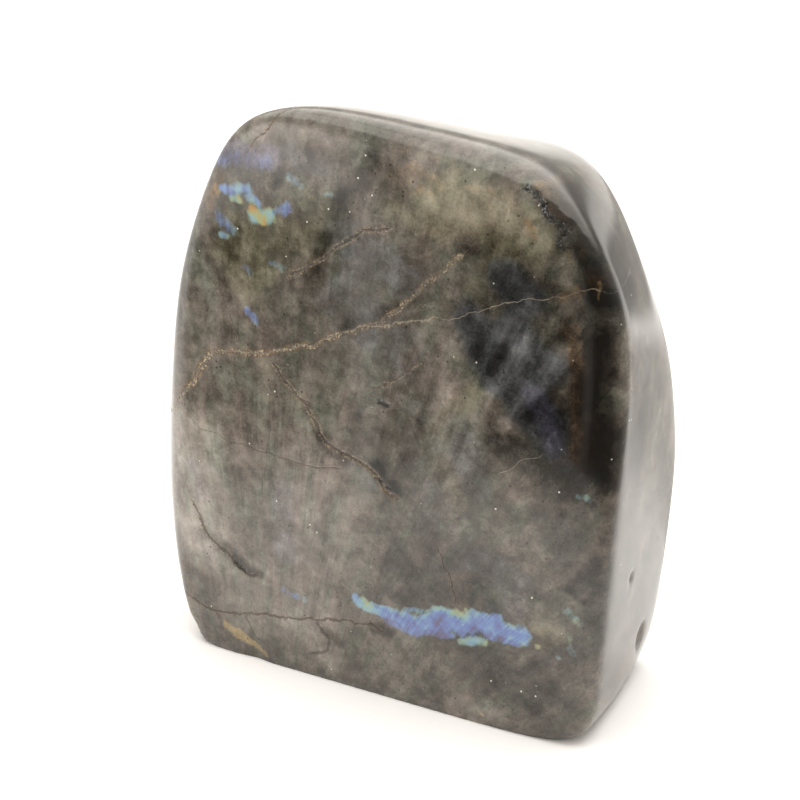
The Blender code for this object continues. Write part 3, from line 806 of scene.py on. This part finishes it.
    # painted shade: the colour darkens inside the hollows and in the pits
    shadow = addNode(tree, "ShaderNodeMath", {"operation": "MULTIPLY"}, {0: marks["brokenShade"], 1: marks["broken"]})[0]
    shadow = addNode(tree, "ShaderNodeMath", {"operation": "MULTIPLY"}, {0: shadow, 1: 0.35})[0]
    shadow = addNode(tree, "ShaderNodeMath", {"operation": "MAXIMUM"}, {0: shadow, 1: marks["pit"]})[0]
    colour = addNode(tree, "ShaderNodeMix", {"data_type": "RGBA"},
                     {0: shadow, 6: colour, 7: linear(stone["crumbDarkAndShade"])})[2]
    tree.links.new(colour, shader.inputs["Base Color"])

    # the polish is very smooth, but lost where the stone is broken and along the open cracks
    dull = addNode(tree, "ShaderNodeMath", {"operation": "MAXIMUM"}, {0: crumbling, 1: marks["broken"]})[0]
    gloss = addNode(tree, "ShaderNodeMapRange", None, {0: dull, 1: 0.0, 2: 1.0, 3: 0.12, 4: 0.5})[0]
    gloss = addNode(tree, "ShaderNodeMath", {"operation": "MULTIPLY_ADD"}, {0: line, 1: 0.2, 2: gloss})[0]
    tree.links.new(gloss, shader.inputs["Roughness"])
    height = addNode(tree, "ShaderNodeMath", {"operation": "MULTIPLY"}, {0: made["crumbs"], 1: dull})[0]
    height = addNode(tree, "ShaderNodeMath", {"operation": "MULTIPLY"}, {0: height, 1: 0.4})[0]
    height = addNode(tree, "ShaderNodeMath", {"operation": "MULTIPLY_ADD"}, {0: line, 1: -0.1, 2: height})[0]
    bump = addNode(tree, "ShaderNodeBump", None, {"Strength": 1.0, "Distance": 1 * mm, "Height": height})[0]
    tree.links.new(bump, shader.inputs["Normal"])
    shader.inputs["IOR"].default_value = 1.56
    shader.inputs["Metallic"].default_value = 0.0
    return material


polishedStone = makeStone(polishedLabradorite())
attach(polishedStone, "root")
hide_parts("labradorite_stone")
print("stone:", len(polishedStone.data.polygons), "faces")

# The studio, in millimetres and degrees. Light is radiance, so a white wall is 1. The paper is white and runs
# out of sight; the room in front of it is dark, which the polished faces mirror.
studio = {
    "camera": {"bearing": 29, "tilt": 20, "distance": 399.2, "aim": (-3.65, -1.88, 62.1), "lens": 77.3},
    "paperSize": 9000, "paperColour": "#f8f6f4", "roomColour": "#fffaf3", "roomLight": 1.0,
    "overheadLamp": {"bearing": 180, "tilt": 84, "angle": 60, "light": 3.6},
    "windowLamp": {"bearing": -40, "tilt": 9, "distance": 900, "size": (260, 340), "light": 3.0},
    # what the polish mirrors: soft round lights (bearing, tilt, radius and softness of the edge, light) over a
    # dim ceiling, and pale paper that sweeps up to paperEdgeTilt
    "paperEdgeTilt": 11, "horizonLight": 1.6, "ceilingLight": 0.62,
    "mirroredLights": {
        "overhead softbox": (180, 79, 54, 6, 2.8),
        "window": (-42, 8, 11, 5, 3.0),
        "skylight": (-113, 65, 6, 4, 2.0),
    },
    # screens round the stone, seen in its polish alone. Each runs between two bearings and up its rows of
    # (distance, height, how solid it is), with its light at even steps from the first bearing to the last
    "screens": {
        "dark room, left": {"bearings": (-64, -26), "rows": [(132, 1, 0), (132, 28, 1), (132, 84, 1), (132, 98, 0)],
                            "lights": (0.05, 0.05), "fade": (8, 0)},
        "dark room": {"bearings": (-26, 125), "rows": [(132, 1, 0), (132, 28, 1), (132, 120, 1), (132, 165, 0)],
                      "lights": (0.05, 0.05, 0.16, 0.5, 1.0), "fade": (0, 12)},
        "bright slit": {"bearings": (9, 15), "rows": [(128, 12, 0), (128, 40, 1), (128, 110, 1), (128, 130, 0)],
                        "lights": (0.45, 0.45), "fade": (2, 2)},
        "back wall": {"bearings": (160, 188), "rows": [(420, 10, 0), (420, 30, 1), (420, 110, 1), (420, 130, 0)],
                      "lights": (0.6, 0.6), "fade": (3, 3)},
        "grey paper, near": {"bearings": (140, 215), "rows": [(42, 1, 1), (90, 1, 1), (135, 1, 0)],
                             "lights": (0.72, 0.72), "fade": (10, 10)},
        "grey paper, far": {"bearings": (140, 215), "rows": [(42, 0.6, 1), (330, 0.6, 1), (430, 0.6, 0)],
                            "lights": (1.02, 1.02), "fade": (10, 10)},
    },
}


def makeScreen(name, screen):
    # an upright or lying sheet that glows, solid in the middle and fading away at its edges
    first, last = screen["bearings"]
    bearings = np.linspace(first, last, 40)
    lights = np.interp(bearings, np.linspace(first, last, len(screen["lights"])), screen["lights"])
    startFade, endFade = screen["fade"]
    solid = np.clip((bearings - first) / max(startFade, 0.1), 0, 1) * np.clip((last - bearings) / max(endFade, 0.1), 0, 1)
    rows = screen["rows"]
    corners = [(*direction(b, 0)[:2] * away * mm, height * mm) for away, height, share in rows for b in bearings]
    wide = len(bearings)
    faces = [(j * wide + i, j * wide + i + 1, (j + 1) * wide + i + 1, (j + 1) * wide + i)
             for j in range(len(rows) - 1) for i in range(wide - 1)]
    mesh = bpy.data.meshes.new(name)
    mesh.from_pydata(corners, [], faces)
    storeOnPoints(mesh, "glow", np.tile(lights, len(rows)))
    storeOnPoints(mesh, "solid", np.concatenate([solid * share for away, height, share in rows]))

    material = bpy.data.materials.new(name)
    material.use_nodes = True
    tree = material.node_tree
    tree.nodes.clear()
    light = addNode(tree, "ShaderNodeAttribute", {"attribute_name": "glow"})["Fac"]
    shown = addNode(tree, "ShaderNodeAttribute", {"attribute_name": "solid"})["Fac"]
    clear = addNode(tree, "ShaderNodeBsdfTransparent")[0]
    glow = addNode(tree, "ShaderNodeEmission", None, {"Color": linear(studio["roomColour"]), "Strength": light})[0]
    mixed = addNode(tree, "ShaderNodeMixShader", None, {0: shown, 1: clear, 2: glow})[0]
    addNode(tree, "ShaderNodeOutputMaterial", None, {"Surface": mixed})
    mesh.materials.append(material)
    made = bpy.data.objects.new(name, mesh)
    bpy.context.scene.collection.objects.link(made)
    made.visible_camera = False
    made.visible_diffuse = False
    made.visible_shadow = False


def pointAtStone(thing, bearing, tilt, distance):
    towards = Vector(direction(bearing, tilt))
    thing.location = towards * distance * mm + Vector((0, 0, stone["middleHeight"] * mm))
    thing.rotation_euler = towards.to_track_quat("Z", "Y").to_euler()


def makeStudio():
    paper = bpy.data.materials.new("matt white paper")
    paper.use_nodes = True
    paperShader = paper.node_tree.nodes["Principled BSDF"]
    paperShader.inputs["Base Color"].default_value = linear(studio["paperColour"])
    paperShader.inputs["Roughness"].default_value = 0.9
    paperShader.inputs["Specular IOR Level"].default_value = 0.0
    bpy.ops.mesh.primitive_plane_add(size=studio["paperSize"] * mm)
    floor = bpy.context.object
    floor.name = "paper"
    floor.data.materials.append(paper)

    for name, screen in studio["screens"].items():
        makeScreen(name, screen)

    # a very large soft lamp overhead, and a window-like one at the front left
    given = studio["overheadLamp"]
    overhead = bpy.data.lights.new("overhead lamp", "SUN")
    overhead.angle = math.radians(given["angle"])
    overhead.energy = given["light"] * math.pi * math.sin(overhead.angle / 2) ** 2
    hung = bpy.data.objects.new("overhead lamp", overhead)
    pointAtStone(hung, given["bearing"], given["tilt"], 900)
    hung.visible_glossy = False
    bpy.context.scene.collection.objects.link(hung)

    given = studio["windowLamp"]
    window = bpy.data.lights.new("window lamp", "AREA")
    window.shape = "RECTANGLE"
    window.size, window.size_y = (side * mm for side in given["size"])
    window.energy = given["light"] * math.pi * window.size * window.size_y
    hung = bpy.data.objects.new("window lamp", window)
    pointAtStone(hung, given["bearing"], given["tilt"], given["distance"])
    hung.visible_camera = False
    hung.visible_glossy = False
    bpy.context.scene.collection.objects.link(hung)

    # the room is evenly white, but its soft lights and dim ceiling are seen in the polish
    world = bpy.data.worlds.new("room light")
    bpy.context.scene.world = world
    world.use_nodes = True
    tree = world.node_tree
    view = addNode(tree, "ShaderNodeTexCoord")["Generated"]
    height = addNode(tree, "ShaderNodeSeparateXYZ", None, {0: view})[2]
    edge = math.sin(math.radians(studio["paperEdgeTilt"]))
    mirrored = addNode(tree, "ShaderNodeMapRange", None, {0: height, 1: edge - 0.03, 2: edge + 0.03,
                                                          3: studio["horizonLight"], 4: studio["ceilingLight"]})[0]
    for bearing, tilt, radius, softness, light in studio["mirroredLights"].values():
        towards = addNode(tree, "ShaderNodeVectorMath", {"operation": "DOT_PRODUCT"},
                          {0: view, 1: direction(bearing, tilt)})["Value"]
        outer, inner = (math.cos(math.radians(radius + offset)) for offset in (softness, -softness))
        mirrored = addNode(tree, "ShaderNodeMapRange", {"interpolation_type": "SMOOTHSTEP"},
                           {0: towards, 1: outer, 2: inner, 3: mirrored, 4: light})[0]
    glossy = addNode(tree, "ShaderNodeLightPath")["Is Glossy Ray"]
    level = addNode(tree, "ShaderNodeMix", {"data_type": "FLOAT"}, {0: glossy, 2: studio["roomLight"], 3: mirrored})[0]
    tree.links.new(level, tree.nodes["Background"].inputs["Strength"])
    tree.nodes["Background"].inputs["Color"].default_value = linear(studio["roomColour"])

    taken = studio["camera"]
    camera = bpy.data.cameras.new("camera")
    camera.lens = taken["lens"]
    camera.sensor_width = 36
    camera.clip_start = 0.01
    held = bpy.data.objects.new("camera", camera)
    back = Vector(direction(taken["bearing"], taken["tilt"]))
    held.location = (Vector(taken["aim"]) + back * taken["distance"]) * mm
    held.rotation_euler = back.to_track_quat("Z", "Y").to_euler()
    bpy.context.scene.collection.objects.link(held)
    bpy.context.scene.camera = held
    bpy.context.scene.view_settings.view_transform = "Standard"
    bpy.context.scene.view_settings.look = "None"


makeStudio()
print("studio ready")
